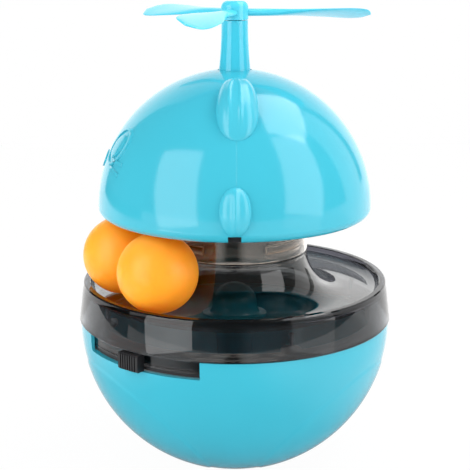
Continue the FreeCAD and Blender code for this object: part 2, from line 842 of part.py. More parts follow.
# Ear: a loft through six-sided sections set along the dome's slope
ear_shares = [
    (-1.0, 0.40, -0.16), (-0.87, 0.70, 0.20), (-0.56, 0.96, 0.60), (-0.1, 1.0, 0.92),
    (0.34, 0.9, 1.0), (0.66, 0.70, 0.88), (0.88, 0.46, 0.52), (1.0, 0.22, -0.1),
]
ear_angle = size("ear_angle")
ear_sections = []
for number, (along, breadth, lift) in enumerate(ear_shares, start=1):
    v = size("ear_length") * (along / 2)
    w = size("ear_width") * (breadth / 2)
    chord_radius = leg(dome_radius, v)
    crest = chord_radius - dome_radius + size("ear_rise") * lift
    foot = leg(chord_radius, w) - dome_radius
    section = doc.addObject("Sketcher::SketchObject", "ear_section_%d" % number)
    outline(section, [
        (0 - w * 1.1, foot - 3),
        (w * 1.1, foot - 3),
        (w * 0.8, crest * 0.6 + foot * 0.4),
        (w * 0.29, crest),
        (0 - w * 0.29, crest),
        (0 - w * 0.8, crest * 0.6 + foot * 0.4),
    ])
    place(section, 0, v * sine(ear_angle) - dome_radius * cosine(ear_angle),
          dome_centre + dome_radius * sine(ear_angle) + v * cosine(ear_angle),
          180 - ear_angle, (1, 0, 0))
    section.Visibility = False
    ear_sections.append(section)
ear_near = doc.addObject("Part::Loft", "ear_near")
ear_near.Sections = ear_sections
ear_near.Solid = True
ear_near.Ruled = False

# Paw: a pointed oval, where two balls overlap
paw_depth = dome_radius - size("paw_sink")
paw_halves = []
for number, side in enumerate((1, -1), start=1):
    paw_halves.append(ball("paw_half_%d" % number, size("paw_ball"), size("paw_offset") * side,
                           0 - paw_depth * cosine(size("paw_angle")),
                           dome_centre + paw_depth * sine(size("paw_angle"))))
paw_limit = doc.addObject("Part::Box", "paw_limit")
bind(paw_limit, "Length", dome_radius * 2)
bind(paw_limit, "Width", dome_radius * 2)
bind(paw_limit, "Height", dome_radius)
place(paw_limit, 0 - dome_radius, 0 - dome_radius * 2, dome_rim + 0.8)
paw_near = boolean("Common", "paw_near", *paw_halves, paw_limit)
ears_and_paws = [ear_near, paw_near]
for near, name in ((ear_near, "ear_far"), (paw_near, "paw_far")):
    far = doc.addObject("Part::Mirroring", name)
    far.Source = near
    far.Normal = (0, 1, 0)
    ears_and_paws.append(far)

# Face: flat shapes pushed through the front of the dome, kept just above its skin
face_marks = new_body("face_marks")
face_marks.AllowCompound = True


def face_pad(name, draw):
    """Push a drawing on the plane through Y and Z out through the dome's front."""
    sketch = new_sketch(face_marks, name + "_sketch", "YZ_Plane", 0 - dome_radius - 3)
    draw(sketch)
    pad = face_marks.newObject("PartDesign::Pad", name)
    pad.Profile = sketch
    bind(pad, "Length", dome_radius * 0.6)
    sketch.Visibility = False


def rings(*circles):
    """A drawing of whole circles, each as y, z and radius."""
    def draw(sketch):
        for y, z, radius in circles:
            middle = Vector(as_size(y).number, as_size(z).number, 0)
            circle = Part.Circle(middle, Vector(0, 0, 1), as_size(radius).number)
            edge = sketch.addGeometry(circle, False)
            kind = Sketcher.Constraint("Radius", edge, as_size(radius).number)
            bind(sketch, "Constraints[%d]" % sketch.addConstraint(kind), radius)
            pin_point(sketch, edge, 3, y, z)
    return draw


eye_middle = dome_centre + size("eye_lift")
whisker_middle = dome_centre + size("whisker_lift")
nose_middle = dome_centre + size("nose_lift")
for side, name in ((-1, "near"), (1, "far")):
    middle = size("eye_side") * side
    inner_eye = size("eye_radius") - size("eye_line")
    face_pad("eye_" + name, rings((middle, eye_middle, size("eye_radius")),
                                  (middle, eye_middle, inner_eye)))
    face_pad("pupil_" + name, rings((middle, eye_middle, size("pupil_radius"))))
    for order, drop in enumerate((1, -1), start=1):
        near_end = size("whisker_near") * side
        far_end = size("whisker_far") * side
        half = size("whisker_width") / 2
        start = whisker_middle + size("whisker_spread") * 0.6 * drop
        finish = whisker_middle + size("whisker_spread") * (drop * 1.0 - 0.6)
        face_pad("whisker_%s_%d" % (name, order), lambda sketch: outline(sketch, [
            (near_end, start - half), (far_end, finish - half),
            (far_end, finish + half), (near_end, start + half)]))
nose_half = size("nose_width") / 2
face_pad("muzzle", lambda sketch: outline(sketch, [
    (0 - nose_half, nose_middle, nose_half * 1.15),
    (nose_half, nose_middle, nose_half * 1.15)]))
face_shell = ball("face_shell", dome_radius + size("face_height"), 0, 0, dome_centre)
dome_face = boolean("Common", "dome_face", face_marks, face_shell)

dome_solid = boolean("Fuse", "dome_solid", dome_blank, *ears_and_paws, dome_face)
dome_open = boolean("Cut", "dome_open", dome_solid, dome_hollow)
dome_cuts = new_body("dome_cuts")
dome_cuts.AllowCompound = True
round_pad(dome_cuts, "mast_hole", 0, size("mast_post_radius") + 0.2, boss_low - 1,
          mast_seat + 1)
floor_tip = floor_top + size("screw_bite")
pillar_hole = round_pad(dome_cuts, "pillar_hole", pillar_reach, pilot_radius,
                        floor_top - 1, floor_tip + size("screw_spare"), size("pillar_bearing"))
ring_of(dome_cuts, "pillar_holes", [pillar_hole], 3)
notch = block_pad(dome_cuts, "notch", dome_bore - 3, dome_radius + size("overshoot"),
                  size("notch_width"), dome_rim - 1, dome_rim + size("notch_height"), 90)
ring_of(dome_cuts, "notches", [notch], 2)
dome_shell = boolean("Cut", "dome_shell", dome_open, dome_cuts)

# Dome floor: a closed disc with the collar of the twist lock below it
collar_low = seam_height + size("collar_seat_gap")
floor_radius = dome_bore - size("floor_gap")
catch_inner = neck_radius + size("catch_gap")
catch_top = lug_low - size("catch_gap")
catch_low = catch_top - size("catch_height")
dome_floor = new_body("dome_floor")
revolve(dome_floor, "disc_and_collar", [
    (0, floor_low),
    (collar_inner, floor_low),
    (collar_inner, collar_low),
    (seam_radius, collar_low),
    (seam_radius, floor_low),
    (floor_radius, floor_low),
    (floor_radius, floor_top),
    (0, floor_top),
])
catch = revolve(dome_floor, "catch", [
    (catch_inner, catch_low),
    (collar_inner + 0.5, catch_low),
    (collar_inner + 0.5, catch_top),
    (catch_inner, catch_top),
], size("catch_span"), 0)
reach_of_stop = size("lug_span") / 2 + size("stop_play") + size("stop_span") / 2
stops = []
for name, bearing in (("locked", size("lug_bearing") + reach_of_stop),
                      ("open", size("lug_bearing") - size("twist_travel") - reach_of_stop)):
    stops.append(revolve(dome_floor, "stop_" + name, [
        (catch_inner, catch_top - 0.5),
        (collar_inner + 0.5, catch_top - 0.5),
        (collar_inner + 0.5, lug_top),
        (catch_inner, lug_top),
    ], size("stop_span"), bearing))
key_width = size("notch_width") - size("key_gap") * 2
key_low = dome_rim + 0.5
key_inner = floor_radius - size("key_depth")
key_root = block_pad(dome_floor, "key_root", key_inner, floor_radius - 0.3, key_width,
                     key_low, floor_low + 0.5, 90)
key_tab = block_pad(dome_floor, "key_tab", key_inner, dome_inner, key_width,
                    key_low, dome_rim + size("notch_height") - size("key_gap"), 90)
ring_of(dome_floor, "halves", [catch] + stops + [key_root, key_tab], 2)
floor_hole = round_pad(dome_floor, "floor_hole", pillar_reach,
                       size("screw_hole_radius"), floor_low - 1, floor_top + 1,
                       size("pillar_bearing"), True)
ring_of(dome_floor, "floor_holes", [floor_hole], 3)
dome_floor_screws = screw_set("dome_floor_screws", pillar_reach, 3,
                              size("pillar_bearing"), floor_low, floor_tip, False)

# Mast: a tapered tube round a screw post, closed above
mast_top = mast_seat + size("mast_height")
mast_cavity = mast_top - size("mast_cap")
mast_taper = size("mast_foot_radius") - size("mast_top_radius")
mast_side = size("mast_height") * size("mast_height") + mast_taper * mast_taper
waist = size("mast_waist")
mast_flare = (mast_side / 4 + waist * waist) / (waist * 2)
post_radius = size("mast_post_radius")
post_bottom = mast_seat - size("mast_post_drop")
spindle_hole = size("spindle_radius") + size("press_play")
spindle_foot = mast_top - size("spindle_depth")
screw_depth = post_bottom + size("mast_screw_bite")
mast = new_body("mast")
revolve(mast, "tube_and_post", [
    (pilot_radius, post_bottom),
    (post_radius, post_bottom),
    (post_radius, mast_cavity),
    (size("mast_top_radius") - size("mast_wall"), mast_cavity),
    (size("mast_foot_radius") - size("mast_wall"), mast_seat),
    (size("mast_foot_radius"), mast_seat, 0 - mast_flare),
    (size("mast_top_radius"), mast_top),
    (spindle_hole, mast_top),
    (spindle_hole, spindle_foot),
    (0, spindle_foot),
    (0, screw_depth),
    (pilot_radius, screw_depth),
])
washer_low = boss_low - size("mast_washer_wall")
mast_washer = new_body("mast_washer")
revolve(mast_washer, "flat_ring", [
    (pilot_radius, washer_low),
    (size("mast_washer_radius"), washer_low),
    (size("mast_washer_radius"), boss_low),
    (pilot_radius, boss_low),
])
mast_screw = screw_set("mast_screw", 0, 1, 0, washer_low, screw_depth - size("screw_spare"), False)

# Spindle, washer, propeller, retaining ring and cap
bore_radius = size("spindle_radius") + size("bore_play")
washer_top = mast_top + size("washer_wall")
thrust_washer = new_body("thrust_washer")
revolve(thrust_washer, "washer", [
    (bore_radius, mast_top),
    (size("washer_radius"), mast_top),
    (size("washer_radius"), washer_top),
    (bore_radius, washer_top),
])
hub_low = washer_top + size("hub_lift")
hub_top = hub_low + size("hub_height")
crown = size("hub_radius") - size("hub_round")
crown_height = hub_top - size("hub_round")
pocket_radius = size("cap_radius") + size("cap_play")
cap_low = hub_top - size("cap_wall")
clip_floor = cap_low - size("clip_pocket_depth")
spindle_top = cap_low - size("spindle_room")
spindle = new_body("spindle")
spindle_bevel = 0.3
revolve(spindle, "pin", [
    (0, spindle_foot),
    (size("spindle_radius"), spindle_foot),
    (size("spindle_radius"), spindle_top - spindle_bevel),
    (size("spindle_radius") - spindle_bevel, spindle_top),
    (0, spindle_top),
])
propeller = new_body("propeller")
revolve(propeller, "hub", [
    (bore_radius, hub_low),
    (size("hub_radius"), hub_low),
    (size("hub_radius"), crown_height, size("hub_round")),
    (pocket_radius, crown_height + leg(size("hub_round"), pocket_radius - crown)),
    (pocket_radius, cap_low),
    (size("clip_pocket_radius"), cap_low),
    (size("clip_pocket_radius"), clip_floor),
    (bore_radius, clip_floor),
])
# Blade: shares of its reach, chord, pitch and wall, from the thick root to the rounded tip
blade_stations = [
    (0.056, 0.427, 0.1, 2.44), (0.281, 0.402, 0.45, 2.25), (0.533, 0.854, 0.68, 1.56),
    (0.743, 1.0, 0.84, 1.13), (0.87, 0.927, 0.98, 0.94), (0.947, 0.756, 1.0, 0.88),
    (1.0, 0.341, 1.0, 0.69),
]
blade_height = hub_low + size("blade_lift")
blade_sketches = []
for number, (out, breadth, twist, thick) in enumerate(blade_stations, start=1):
    sketch = new_sketch(propeller, "blade_section_%d" % number, "YZ_Plane",
                        size("blade_reach") * out)
    half = size("blade_chord") * breadth / 2
    pitch = size("blade_pitch") * twist
    bulge = size("blade_wall") * thick / 2
    bend = (half * half + bulge * bulge) / (bulge * 2)
    x = half * cosine(pitch)
    y = half * sine(pitch)
    middle = blade_height - size("blade_droop") * out * out
    outline(sketch, [(0 - x, middle + y, bend), (x, middle - y, bend)])
    sketch.Visibility = False
    blade_sketches.append(sketch)
blade = propeller.newObject("PartDesign::AdditiveLoft", "blade")
blade.Profile = blade_sketches[0]
blade.Sections = blade_sketches[1:]
ring_of(propeller, "blade_pattern", [blade], size("blade_count"))
place(propeller, 0, 0, 0, size("blade_bearing"))

clip_low = clip_floor + size("clip_lift")
spindle_clip = new_body("spindle_clip")
revolve(spindle_clip, "retaining_ring", [
    (spindle_hole, clip_low),
    (size("clip_radius"), clip_low),
    (size("clip_radius"), clip_low + size("clip_wall")),
    (spindle_hole, clip_low + size("clip_wall")),
])
hub_cap = new_body("hub_cap")
revolve(hub_cap, "crown", [
    (0, cap_low),
    (size("cap_radius"), cap_low),
    (size("cap_radius"), crown_height + leg(size("hub_round"), size("cap_radius") - crown),
     size("hub_round")),
    (crown, hub_top),
    (0, hub_top),
])

NODES = {
    "bowl": bowl,
    "counterweight": counterweight,
    "weight_cover": weight_cover,
    "weight_cover_screws": weight_cover_screws,
    "outlet_ring": outlet_ring,
    "outlet_ring_screws": outlet_ring_screws,
    "tray": tray,
    "slider_door": slider_door,
    "slider_knob": slider_knob,
    "ball_front": balls["ball_front"],
    "ball_back": balls["ball_back"],
    "dome_shell": dome_shell,
    "dome_floor": dome_floor,
    "dome_floor_screws": dome_floor_screws,
    "mast": mast,
    "mast_washer": mast_washer,
    "mast_screw": mast_screw,
    "spindle": spindle,
    "thrust_washer": thrust_washer,
    "spindle_clip": spindle_clip,
    "propeller": propeller,
    "hub_cap": hub_cap,
}
for name, thing in NODES.items():
    thing.Label = name

doc.recompute()
for thing in doc.Objects:
    faults = [word for word in thing.State if word in ("Invalid", "Error")]
    if faults:
        raise SystemExit("%s did not build: %s" % (thing.Label, faults))
for name, thing in NODES.items():
    if thing.Shape.isNull() or not thing.Shape.isValid():
        raise SystemExit("%s has no sound shape" % name)

os.makedirs("parts", exist_ok=True)
for name, thing in NODES.items():
    thing.Shape.exportStep("parts/%s.step" % name)
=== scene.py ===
"""Cat treat dispenser toy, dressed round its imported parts: bowl, tray, balls, dome and propeller.

Lengths in the outlines are millimetres; the meshes are in metres in the part's own frame. Bearings
are degrees round the toy's upright axis from +X. The face looks along -X, the camera stands at -Y.
"""
import math

import bpy
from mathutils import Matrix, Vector


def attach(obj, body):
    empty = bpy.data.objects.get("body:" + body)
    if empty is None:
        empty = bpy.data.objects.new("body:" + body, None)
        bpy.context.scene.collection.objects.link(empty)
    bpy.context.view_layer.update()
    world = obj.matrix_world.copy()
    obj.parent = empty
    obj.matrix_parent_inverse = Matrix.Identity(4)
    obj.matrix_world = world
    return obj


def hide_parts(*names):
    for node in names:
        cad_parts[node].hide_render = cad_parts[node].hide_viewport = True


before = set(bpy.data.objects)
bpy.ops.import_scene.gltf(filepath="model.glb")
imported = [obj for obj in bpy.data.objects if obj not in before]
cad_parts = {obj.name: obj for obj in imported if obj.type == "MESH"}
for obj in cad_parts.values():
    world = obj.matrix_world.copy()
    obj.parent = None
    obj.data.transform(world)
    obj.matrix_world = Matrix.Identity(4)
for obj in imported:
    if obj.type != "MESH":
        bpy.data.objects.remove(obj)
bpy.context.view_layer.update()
MM = 0.001


# ---- Bowl ----
# Sky-blue injection-moulded shell, a ball cut flat below, with a thin lap round its open rim. The
# front of the rim is cut away for the door, and three large round swells stand just proud of its
# outside.
def arc(middle_r, middle_z, radius, start, finish, count):
    """Points of a round part of an outline, from one angle to the other."""
    points = []
    for number in range(count + 1):
        angle = math.radians(start + (finish - start) * number / count)
        points.append((middle_r + radius * math.cos(angle), middle_z + radius * math.sin(angle)))
    return points


def angle_on(middle_z, radius, height):
    """Where a height lies on a ball's outline, in degrees above its middle."""
    return math.degrees(math.asin((height - middle_z) / radius))


def start_clean():
    """Leave edit mode with nothing selected, so that an operator works on the new piece alone."""
    if bpy.context.object and bpy.context.object.mode != "OBJECT":
        bpy.ops.object.mode_set(mode="OBJECT")
    bpy.ops.object.select_all(action="DESELECT")


def take(piece):
    """Select one piece and make it the active one."""
    start_clean()
    piece.select_set(True)
    bpy.context.view_layer.objects.active = piece


def turned(name, outline, steps=192, span=360.0, middle=0.0, closed=True):
    """Draw an outline of (radius, height) point by point and spin it about the toy's axis."""
    start_clean()
    bpy.ops.mesh.primitive_plane_add(size=0.001)
    piece = bpy.context.object
    piece.name = name
    piece.data.name = name
    bpy.ops.object.mode_set(mode="EDIT")
    bpy.ops.mesh.select_mode(type="VERT")
    bpy.ops.mesh.select_all(action="SELECT")
    bpy.ops.mesh.merge(type="CENTER")
    turn = math.radians(0.0 if span >= 360 else middle - span / 2)
    ways = [Vector((r * math.cos(turn), r * math.sin(turn), z)) * MM for r, z in outline]
    bpy.ops.transform.translate(value=ways[0])
    route = ways + ([ways[0]] if closed else [])
    for before, after in zip(route, route[1:]):
        bpy.ops.mesh.extrude_region_move(TRANSFORM_OT_translate={"value": after - before})
    bpy.ops.mesh.select_all(action="SELECT")
    bpy.ops.mesh.remove_doubles(threshold=1e-6)
    bpy.ops.mesh.select_all(action="SELECT")
    bpy.ops.mesh.spin(steps=steps, angle=math.radians(-span), center=(0, 0, 0), axis=(0, 0, 1))
    bpy.ops.mesh.select_all(action="SELECT")
    bpy.ops.mesh.remove_doubles(threshold=1e-6)
    if span < 360 and closed:
        bpy.ops.mesh.select_all(action="DESELECT")
        bpy.ops.mesh.select_non_manifold(extend=False, use_multi_face=False,
                                         use_non_contiguous=False, use_verts=False)
        bpy.ops.mesh.edge_face_add()
    bpy.ops.mesh.select_all(action="SELECT")
    bpy.ops.mesh.normals_make_consistent(inside=False)
    bpy.ops.object.mode_set(mode="OBJECT")
    return piece


def smooth(piece, angle=32.0):
    """Shade a piece smooth, except where its faces meet at more than the angle."""
    take(piece)
    bpy.ops.object.shade_smooth_by_angle(angle=math.radians(angle))


def carve(piece, cutter, way="DIFFERENCE"):
    """Cut one piece with another, or join it on, and throw the second one away."""
    take(piece)
    bpy.ops.object.modifier_add(type="BOOLEAN")
    change = piece.modifiers[-1]
    change.operation = way
    change.solver = "MANIFOLD"
    change.object = cutter
    bpy.ops.object.modifier_apply(modifier=change.name)
    bpy.data.objects.remove(cutter)


def plastic(name, colour, roughness, shade=0.05, ripple=0.02, scale=160.0, clear=0.0):
    """Moulded plastic: an even colour with a faint flow of tone, and a slightly uneven skin."""
    material = bpy.data.materials.new(name)
    material.use_nodes = True
    tree = material.node_tree
    surface = tree.nodes["Principled BSDF"]
    surface.inputs["Roughness"].default_value = roughness
    surface.inputs["Transmission Weight"].default_value = clear
    place = tree.nodes.new("ShaderNodeTexCoord")
    flow = tree.nodes.new("ShaderNodeTexNoise")
    flow.inputs["Scale"].default_value = 22.0
    flow.inputs["Detail"].default_value = 2.0
    tree.links.new(place.outputs["Object"], flow.inputs["Vector"])
    tone = tree.nodes.new("ShaderNodeMapRange")
    tone.inputs["To Min"].default_value = 1.0 - shade
    tone.inputs["To Max"].default_value = 1.0 + shade
    tree.links.new(flow.outputs["Fac"], tone.inputs["Value"])
    tint = tree.nodes.new("ShaderNodeVectorMath")
    tint.name = "tint"
    tint.operation = "SCALE"
    tint.inputs[0].default_value = colour
    tree.links.new(tone.outputs["Result"], tint.inputs["Scale"])
    tree.links.new(tint.outputs["Vector"], surface.inputs["Base Color"])
    grain = tree.nodes.new("ShaderNodeTexNoise")
    grain.inputs["Scale"].default_value = scale
    grain.inputs["Detail"].default_value = 3.0
    tree.links.new(place.outputs["Object"], grain.inputs["Vector"])
    bump = tree.nodes.new("ShaderNodeBump")
    bump.inputs["Strength"].default_value = ripple
    bump.inputs["Distance"].default_value = 0.0004
    tree.links.new(grain.outputs["Fac"], bump.inputs["Height"])
    tree.links.new(bump.outputs["Normal"], surface.inputs["Normal"])
    return material


def dress(piece, material, body):
    """Give a piece its material and the body that carries it."""
    piece.data.materials.clear()
    piece.data.materials.append(material)
    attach(piece, body)


sky_blue = plastic("sky_blue_plastic", (0.043, 0.398, 0.516), 0.12)
BOWL_MIDDLE = 77.47
BOWL_OUT = 81.1
BOWL_IN = 78.7
outside = arc(0, BOWL_MIDDLE, BOWL_OUT, angle_on(BOWL_MIDDLE, BOWL_OUT, 0.12),
              angle_on(BOWL_MIDDLE, BOWL_OUT, 78.75), 110)
inside = arc(0, BOWL_MIDDLE, BOWL_IN, angle_on(BOWL_MIDDLE, BOWL_IN, 67.9),
             angle_on(BOWL_MIDDLE, BOWL_IN, 2.6), 60)
bowl = turned("bowl_shell", [(0, 0), (23.4, 0)] + outside + [
    (80.85, 79.0), (79.5, 79.0), (79.3, 78.8), (79.3, 69.9), (74.7, 69.9), (74.7, 67.9),
] + inside + [(0, 2.6)], steps=320)

# Each swell is a round patch of the ball: how far its middle leans from straight down, its radius
# and the width of its soft edge, all in degrees, and how far it stands out.
SWELL_LEAN = math.radians(48)
SWELL_RADIUS, SWELL_EDGE = 31.2, 1.6
SWELL_RISE = 0.4 * MM
swells = [Vector((math.sin(SWELL_LEAN) * math.cos(math.radians(bearing)),
                  math.sin(SWELL_LEAN) * math.sin(math.radians(bearing)),
                  -math.cos(SWELL_LEAN))) for bearing in (90, 210, 330)]
for vertex in bowl.data.vertices:
    spoke = vertex.co - Vector((0, 0, BOWL_MIDDLE * MM))
    on_the_outside = spoke.length >= (BOWL_OUT - 0.5) * MM
    if not on_the_outside or vertex.co.z < 0.1 * MM or vertex.co.z > 68.5 * MM:
        continue
    for swell in swells:
        off = math.degrees(spoke.angle(swell)) - SWELL_RADIUS
        rise = min(max(0.5 - off / SWELL_EDGE, 0.0), 1.0)
        rise = rise * rise * (3 - 2 * rise)
        if rise > 0:
            vertex.co += spoke.normalized() * rise * SWELL_RISE
            vertex.co.z = max(vertex.co.z, 0.0)
            break

# The cut-out for the door, with its left lower corner rounded as seen from outside.
DOOR_MIDDLE = 232.7
CUTOUT_SPAN = 51.2
CORNER, CORNER_REACH = 1.2, 82
gate = turned("gate", [(78.8, 69.9), (86, 69.9), (86, 84), (78.8, 84)], 128, CUTOUT_SPAN,
              DOOR_MIDDLE)
for vertex in gate.data.vertices:
    bearing = math.degrees(math.atan2(vertex.co.y, vertex.co.x)) % 360
    along = math.radians(bearing - (DOOR_MIDDLE - CUTOUT_SPAN / 2)) * CORNER_REACH
    off = 1 - along / CORNER
    if vertex.co.z < 70 * MM and off > 0:
        vertex.co.z += CORNER * MM * (1 - math.sqrt(max(1 - off * off, 0.0)))
carve(bowl, gate)
smooth(bowl)
dress(bowl, sky_blue, "base")
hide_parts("bowl")


# ---- Tray ----
# One smoked see-through moulding: a tapered ring with a hollow rim, a round groove that the balls
# roll in, and a neck in the middle with two lugs for the dome's twist lock. Its tint is set region
# by region to how light or dark each looks: lighter on the floor and the neck, painted light, and
# darker on the cone, the ring and the rim, painted shade.
def smoked(name, tint):
    """Smoke-tinted clear plastic: the tint is what one wall of it lets through."""
    return plastic(name, tint, 0.03, 0.06, 0.006, 90.0, 1.0)


def paint_light_by_wall(material, tints):
    """Set the tray's tint by its height and its distance from the axis: painted light and shade."""
    tree = material.node_tree
    place = tree.nodes.new("ShaderNodeTexCoord")
    axes = tree.nodes.new("ShaderNodeSeparateXYZ")
    flat = tree.nodes.new("ShaderNodeVectorMath")
    flat.operation = "MULTIPLY"
    flat.inputs[1].default_value = (1, 1, 0)
    reach = tree.nodes.new("ShaderNodeVectorMath")
    reach.operation = "LENGTH"
    tree.links.new(place.outputs["Object"], axes.inputs["Vector"])
    tree.links.new(place.outputs["Object"], flat.inputs[0])
    tree.links.new(flat.outputs["Vector"], reach.inputs[0])

    def blend(measure, start, finish, under, over):
        """From one colour to another as a measure grows from start to finish."""
        step = tree.nodes.new("ShaderNodeMapRange")
        step.interpolation_type = "SMOOTHSTEP"
        step.inputs["From Min"].default_value = start
        step.inputs["From Max"].default_value = finish
        tree.links.new(measure, step.inputs["Value"])
        mix = tree.nodes.new("ShaderNodeMix")
        mix.data_type = "RGBA"
        tree.links.new(step.outputs["Result"], mix.inputs[0])
        for socket, colour in ((mix.inputs[6], under), (mix.inputs[7], over)):
            if isinstance(colour, tuple):
                socket.default_value = colour + (1,)
            else:
                tree.links.new(colour, socket)
        return mix.outputs[2]

    height, radius = axes.outputs["Z"], reach.outputs["Value"]
    upright = blend(height, 94.5 * MM, 96.0 * MM, tints["ring"], tints["rim"])
    level = blend(height, 95.0 * MM, 101.0 * MM, tints["floor"], tints["cone"])
    below_neck = blend(radius, 73.5 * MM, 74.8 * MM, level, upright)
    colour_here = blend(height, 113.8 * MM, 114.4 * MM, below_neck, tints["neck"])
    tree.links.new(colour_here, tree.nodes["tint"].inputs[0])


smoke = smoked("smoked_plastic", (0.33, 0.33, 0.34))
tray_smoke = smoked("smoked_tray_painted_light_and_shade", (0.33, 0.33, 0.34))
# Lighter floor and neck are painted light; darker cone, ring and rim are painted shade.
paint_light_by_wall(tray_smoke, {
    "floor": (0.62, 0.61, 0.60), "cone": (0.24, 0.24, 0.23), "ring": (0.27, 0.29, 0.31),
    "rim": (0.10, 0.10, 0.12), "neck": (0.86, 0.78, 0.70)})

# The groove and the cove beside the rim are rounds with the tray's wall between their two faces.
TRACK = 59.2
TRAY_WALL = 2.0
groove = arc(TRACK, 114.0, 21.25, -90, -180, 44)
under_groove = arc(TRACK, 114.0, 21.25 + TRAY_WALL, -175.1, -90, 36)
cove = arc(70.5, 97.75, 5.0, 0, -90, 14)
under_cove = arc(70.5, 97.75, 5.0 + TRAY_WALL, -90, -18.8, 10)
tray = turned("tray_ring", [
    (81.6, 79.0), (81.8, 79.3), (79.66, 95.2), (79.5, 95.7), (79.1, 98.4), (78.5, 99.0),
    (76.1, 99.0), (75.6, 98.6)] + cove + groove + [
    (37.9, 114.0), (35.1, 114.0), (34.9, 114.3), (34.9, 126.3), (34.6, 126.6), (33.2, 126.6),
    (32.9, 126.3), (32.9, 112.0)] + under_groove + under_cove + [
    (77.13, 95.5), (77.6, 95.5), (79.8, 79.0)], steps=256)
for bearing in (135, 315):
    lug = turned("lug", [(34.4, 123.3), (36.1, 123.3), (36.3, 123.5), (36.3, 125.8), (36.1, 126.0),
                         (34.4, 126.0)], 24, 36, bearing)
    carve(tray, lug, "UNION")
smooth(tray)
dress(tray, tray_smoke, "base")
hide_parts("tray")


# ---- Hopper spreader ----
# Sky-blue moulded post under the tray's neck, which keeps the treats away from the middle of the
# bowl. It stands on the weight's cover, and its round head and its collar show through the smoke.
spreader = turned("hopper_spreader", [(0, 94.9)] + arc(0, 83.2, 11.7, 78, 0, 16) + [
    (12.2, 78.6), (13.4, 76.6), (15.6, 75.8), (17.2, 75.5), (17.2, 74.2), (12.5, 73.4),
    (9.5, 60.0), (9.5, 19.4), (0, 20.85)], steps=96)
smooth(spreader)
dress(spreader, sky_blue, "base")


# ---- Door and knob ----
# A smoked band that slides behind the bowl's cut-out, with one outlet hole in it, and the ribbed
# black thumb piece that is fixed to its middle. The band runs on a smoked track. Below that a black
# rail fills the foot of the cut-out, painted shadow in the gap under the track.
door = turned("door_band", [
    (77.7, 73.7), (77.9, 73.5), (78.9, 73.5), (79.1, 73.7), (79.1, 78.7), (78.9, 78.9),
    (77.9, 78.9), (77.7, 78.7)], 96, 98, DOOR_MIDDLE)
hole = turned("hole", [(76, 74.5), (81, 74.5), (81, 78.2), (76, 78.2)], 16, 17.5, 197.35)
carve(door, hole)
smooth(door)
dress(door, smoke, "door")
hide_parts("slider_door")

RAIL_SPAN = 52
track = turned("door_track", [(77.8, 72.2), (78.9, 72.2), (78.9, 73.35), (77.8, 73.35)], 64,
               RAIL_SPAN, DOOR_MIDDLE)
dress(track, smoke, "base")
# Black rail: painted shadow in the gap below the door's track.
rail = turned("door_rail_painted_shadow", [(77.8, 70.6), (78.9, 70.6), (78.9, 72.1), (77.8, 72.1)], 64,
              RAIL_SPAN, DOOR_MIDDLE)
# The knob's own black plastic, also used as painted shade on the rail and on the tabs behind the
# notches.
black_plastic_and_painted_shade = plastic("black_knob_plastic_and_painted_shade", (0.012, 0.012, 0.014), 0.42, 0.1, 0.12, 900.0)
dress(rail, black_plastic_and_painted_shade, "base")

SLITS = 7
SLIT_PITCH = 1.0
knob = turned("door_knob", [
    (79.4, 70.25), (84.1, 70.25), (84.8, 70.95), (84.8, 77.95), (84.1, 78.65), (79.1, 78.65),
    (79.1, 73.9), (79.4, 73.9)], 48, 8.4, DOOR_MIDDLE)
for number in range(SLITS):
    bearing = DOOR_MIDDLE + (number - (SLITS - 1) / 2) * SLIT_PITCH
    slit = turned("slit", [(84.15, 69), (86, 69), (86, 80), (84.15, 80)], 2, 0.42, bearing)
    carve(knob, slit)
smooth(knob)
dress(knob, black_plastic_and_painted_shade, "door")
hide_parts("slider_knob")


# ---- Balls ----
# Two light hollow balls of matt orange plastic that lie loose in the groove. Each is welded from
# two halves, and the weld leaves a faint line round it.
BALL_RADIUS = 20.0
BALL_HEIGHT = 113.05
ball_skin_painted_glow = plastic("orange_ball_plastic_painted_glow", (0.93, 0.335, 0.028), 0.42, 0.04, 0.05, 700.0)
skin = ball_skin_painted_glow.node_tree.nodes["Principled BSDF"]
skin.inputs["Subsurface Weight"].default_value = 1.0
skin.inputs["Subsurface Radius"].default_value = (1.0, 0.42, 0.10)
skin.inputs["Subsurface Scale"].default_value = 0.03
# A faint orange glow, painted light, for the light that shines through the thin hollow shell.
skin.inputs["Emission Color"].default_value = (1.0, 0.24, 0.0, 1)
skin.inputs["Emission Strength"].default_value = 0.2
for name, bearing, lean in (("ball_front", 230.6, 65), ("ball_back", 190.8, 20)):
    start_clean()
    bpy.ops.mesh.primitive_uv_sphere_add(segments=96, ring_count=48, radius=BALL_RADIUS * MM)
    ball = bpy.context.object
    ball.name = name + "_skin"
    bpy.ops.object.mode_set(mode="EDIT")
    bpy.ops.mesh.select_all(action="DESELECT")
    bpy.ops.object.mode_set(mode="OBJECT")
    for edge in ball.data.edges:
        edge.select = all(abs(ball.data.vertices[i].co.z) < 0.2 * MM for i in edge.vertices)
    bpy.ops.object.mode_set(mode="EDIT")
    bpy.ops.mesh.select_mode(type="EDGE")
    bpy.ops.mesh.bevel(offset=0.3 * MM, segments=2, affect="EDGES")
    bpy.ops.object.mode_set(mode="OBJECT")
    for vertex in ball.data.vertices:
        if abs(vertex.co.z) < 0.05 * MM:
            vertex.co *= (BALL_RADIUS - 0.03) / BALL_RADIUS
    take(ball)
    ball.rotation_euler = (math.radians(lean), math.radians(lean * 0.7), 0)
    ball.location = Vector((TRACK * math.cos(math.radians(bearing)),
                            TRACK * math.sin(math.radians(bearing)), BALL_HEIGHT)) * MM
    bpy.ops.object.transform_apply(location=True, rotation=True, scale=True)
    bpy.ops.object.shade_smooth()
    dress(ball, ball_skin_painted_glow, "front_ball" if name == "ball_front" else "back_ball")
    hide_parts(name)


